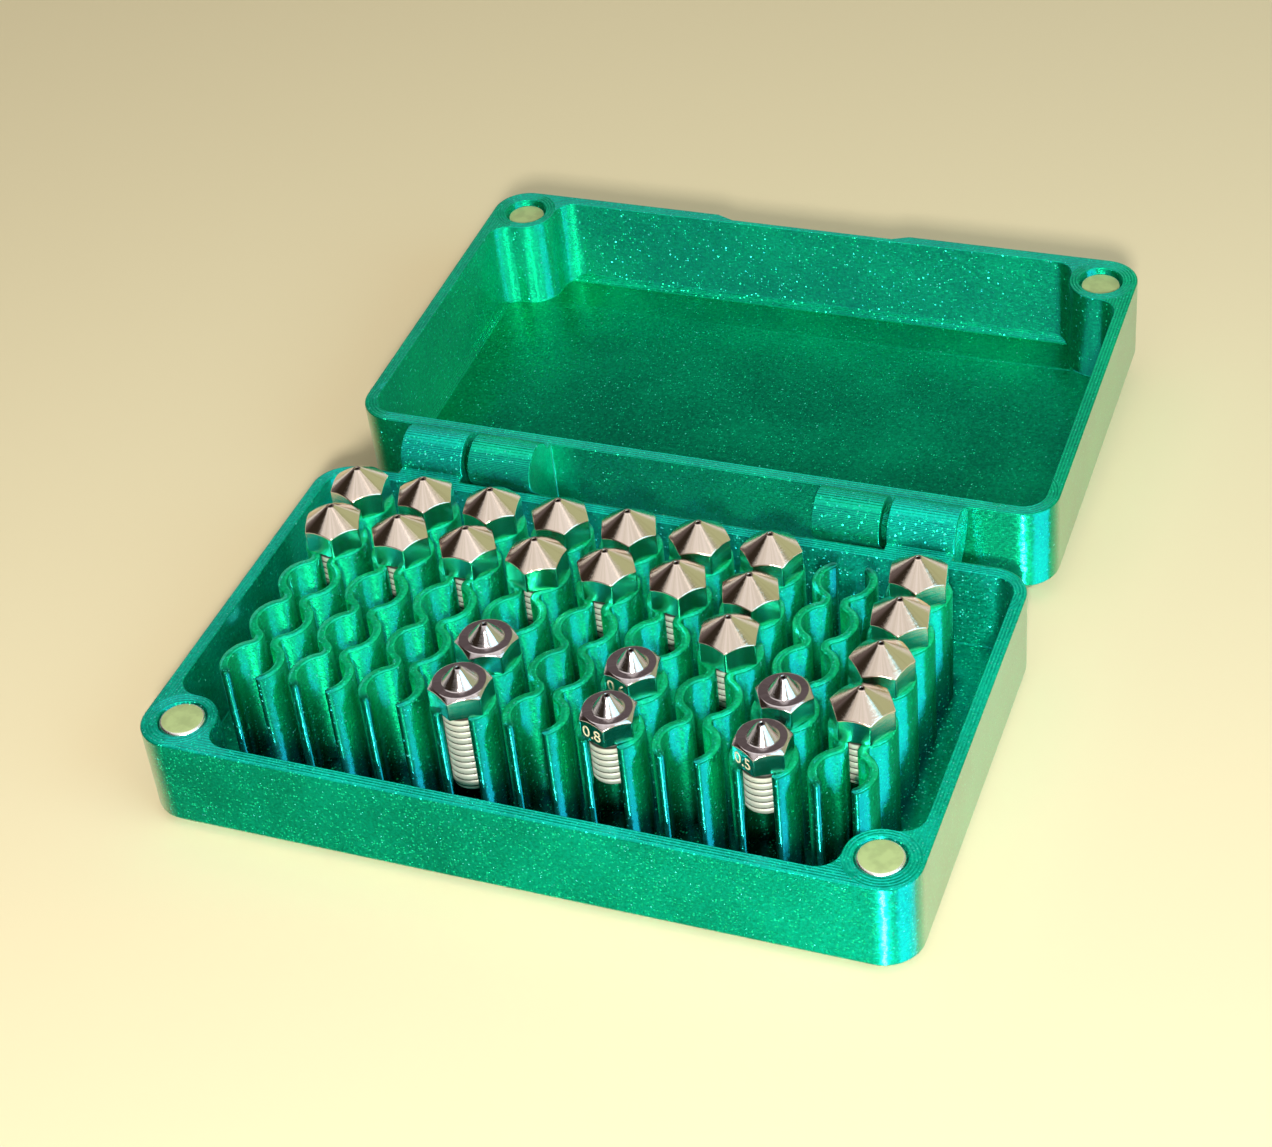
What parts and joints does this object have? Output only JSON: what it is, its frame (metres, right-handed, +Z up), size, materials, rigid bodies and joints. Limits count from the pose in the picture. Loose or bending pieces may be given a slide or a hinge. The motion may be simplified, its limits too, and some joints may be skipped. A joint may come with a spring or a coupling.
{
  "type": "nozzle box",
  "caption": "Open hinged storage box with a rack of split rings that holds threaded nozzles upright, closed by corner magnets.",
  "frame": {"origin": "centre of the tray's flat bottom, on the table", "axes": "+X along the box to the viewer's right, +Y from the tray towards the open lid, +Z up"},
  "size_m": [0.1, 0.1262, 0.0236],
  "materials": {
    "print": "emerald silk filament with fine glitter, visible layer lines",
    "bright_nozzle": "polished nickel, warm",
    "dark_nozzle": "polished hardened steel",
    "magnet": "satin nickel plate"
  },
  "bodies": {
    "base": {"base_tray": "print", "rack_column_1": "print", "rack_column_2": "print", "rack_column_3": "print", "rack_column_4": "print", "rack_column_5": "print", "rack_column_6": "print", "rack_column_7": "print", "rack_column_8": "print", "rack_column_9": "print", "base_magnet_left": "magnet", "base_magnet_right": "magnet"},
    "lid": {"lid": "print", "lid_magnet_left": "magnet", "lid_magnet_right": "magnet"},
    "nozzle_1_1_body": {"nozzle_1_1": "bright_nozzle"},
    "nozzle_1_2_body": {"nozzle_1_2": "bright_nozzle"},
    "nozzle_1_3_body": {"nozzle_1_3": "bright_nozzle"},
    "nozzle_1_4_body": {"nozzle_1_4": "bright_nozzle"},
    "nozzle_1_5_body": {"nozzle_1_5": "bright_nozzle"},
    "nozzle_1_6_body": {"nozzle_1_6": "bright_nozzle"},
    "nozzle_1_7_body": {"nozzle_1_7": "bright_nozzle"},
    "nozzle_1_9_body": {"nozzle_1_9": "bright_nozzle"},
    "nozzle_2_1_body": {"nozzle_2_1": "bright_nozzle"},
    "nozzle_2_2_body": {"nozzle_2_2": "bright_nozzle"},
    "nozzle_2_3_body": {"nozzle_2_3": "bright_nozzle"},
    "nozzle_2_4_body": {"nozzle_2_4": "bright_nozzle"},
    "nozzle_2_5_body": {"nozzle_2_5": "bright_nozzle"},
    "nozzle_2_6_body": {"nozzle_2_6": "bright_nozzle"},
    "nozzle_2_7_body": {"nozzle_2_7": "bright_nozzle"},
    "nozzle_2_9_body": {"nozzle_2_9": "bright_nozzle"},
    "nozzle_3_7_body": {"nozzle_3_7": "bright_nozzle"},
    "nozzle_3_9_body": {"nozzle_3_9": "bright_nozzle"},
    "nozzle_4_4_body": {"nozzle_4_4": "dark_nozzle"},
    "nozzle_4_6_body": {"nozzle_4_6": "dark_nozzle"},
    "nozzle_4_8_body": {"nozzle_4_8": "dark_nozzle"},
    "nozzle_4_9_body": {"nozzle_4_9": "bright_nozzle"},
    "nozzle_5_4_body": {"nozzle_5_4": "dark_nozzle"},
    "nozzle_5_6_body": {"nozzle_5_6": "dark_nozzle"},
    "nozzle_5_8_body": {"nozzle_5_8": "dark_nozzle"}
  },
  "joints": [
    {"name": "lid_hinge", "type": "hinge", "parent": "base", "child": "lid", "pos_m": [0, 0.0337, 0.01455], "axis": [-1, 0, 0], "range_deg": [-177.7, 0]},
    {"name": "lift_1_1", "type": "slide", "parent": "base", "child": "nozzle_1_1_body", "axis": [0, 0, 1], "range_m": [0, 0.008]},
    {"name": "lift_1_2", "type": "slide", "parent": "base", "child": "nozzle_1_2_body", "axis": [0, 0, 1], "range_m": [0, 0.008]},
    {"name": "lift_1_3", "type": "slide", "parent": "base", "child": "nozzle_1_3_body", "axis": [0, 0, 1], "range_m": [0, 0.008]},
    {"name": "lift_1_4", "type": "slide", "parent": "base", "child": "nozzle_1_4_body", "axis": [0, 0, 1], "range_m": [0, 0.008]},
    {"name": "lift_1_5", "type": "slide", "parent": "base", "child": "nozzle_1_5_body", "axis": [0, 0, 1], "range_m": [0, 0.008]},
    {"name": "lift_1_6", "type": "slide", "parent": "base", "child": "nozzle_1_6_body", "axis": [0, 0, 1], "range_m": [0, 0.008]},
    {"name": "lift_1_7", "type": "slide", "parent": "base", "child": "nozzle_1_7_body", "axis": [0, 0, 1], "range_m": [0, 0.008]},
    {"name": "lift_1_9", "type": "slide", "parent": "base", "child": "nozzle_1_9_body", "axis": [0, 0, 1], "range_m": [0, 0.008]},
    {"name": "lift_2_1", "type": "slide", "parent": "base", "child": "nozzle_2_1_body", "axis": [0, 0, 1], "range_m": [0, 0.008]},
    {"name": "lift_2_2", "type": "slide", "parent": "base", "child": "nozzle_2_2_body", "axis": [0, 0, 1], "range_m": [0, 0.008]},
    {"name": "lift_2_3", "type": "slide", "parent": "base", "child": "nozzle_2_3_body", "axis": [0, 0, 1], "range_m": [0, 0.008]},
    {"name": "lift_2_4", "type": "slide", "parent": "base", "child": "nozzle_2_4_body", "axis": [0, 0, 1], "range_m": [0, 0.008]},
    {"name": "lift_2_5", "type": "slide", "parent": "base", "child": "nozzle_2_5_body", "axis": [0, 0, 1], "range_m": [0, 0.008]},
    {"name": "lift_2_6", "type": "slide", "parent": "base", "child": "nozzle_2_6_body", "axis": [0, 0, 1], "range_m": [0, 0.008]},
    {"name": "lift_2_7", "type": "slide", "parent": "base", "child": "nozzle_2_7_body", "axis": [0, 0, 1], "range_m": [0, 0.008]},
    {"name": "lift_2_9", "type": "slide", "parent": "base", "child": "nozzle_2_9_body", "axis": [0, 0, 1], "range_m": [0, 0.008]},
    {"name": "lift_3_7", "type": "slide", "parent": "base", "child": "nozzle_3_7_body", "axis": [0, 0, 1], "range_m": [0, 0.008]},
    {"name": "lift_3_9", "type": "slide", "parent": "base", "child": "nozzle_3_9_body", "axis": [0, 0, 1], "range_m": [0, 0.008]},
    {"name": "lift_4_4", "type": "slide", "parent": "base", "child": "nozzle_4_4_body", "axis": [0, 0, 1], "range_m": [0, 0.0135]},
    {"name": "lift_4_6", "type": "slide", "parent": "base", "child": "nozzle_4_6_body", "axis": [0, 0, 1], "range_m": [0, 0.008]},
    {"name": "lift_4_8", "type": "slide", "parent": "base", "child": "nozzle_4_8_body", "axis": [0, 0, 1], "range_m": [0, 0.008]},
    {"name": "lift_4_9", "type": "slide", "parent": "base", "child": "nozzle_4_9_body", "axis": [0, 0, 1], "range_m": [0, 0.008]},
    {"name": "lift_5_4", "type": "slide", "parent": "base", "child": "nozzle_5_4_body", "axis": [0, 0, 1], "range_m": [0, 0.0135]},
    {"name": "lift_5_6", "type": "slide", "parent": "base", "child": "nozzle_5_6_body", "axis": [0, 0, 1], "range_m": [0, 0.008]},
    {"name": "lift_5_8", "type": "slide", "parent": "base", "child": "nozzle_5_8_body", "axis": [0, 0, 1], "range_m": [0, 0.008]}
  ]
}
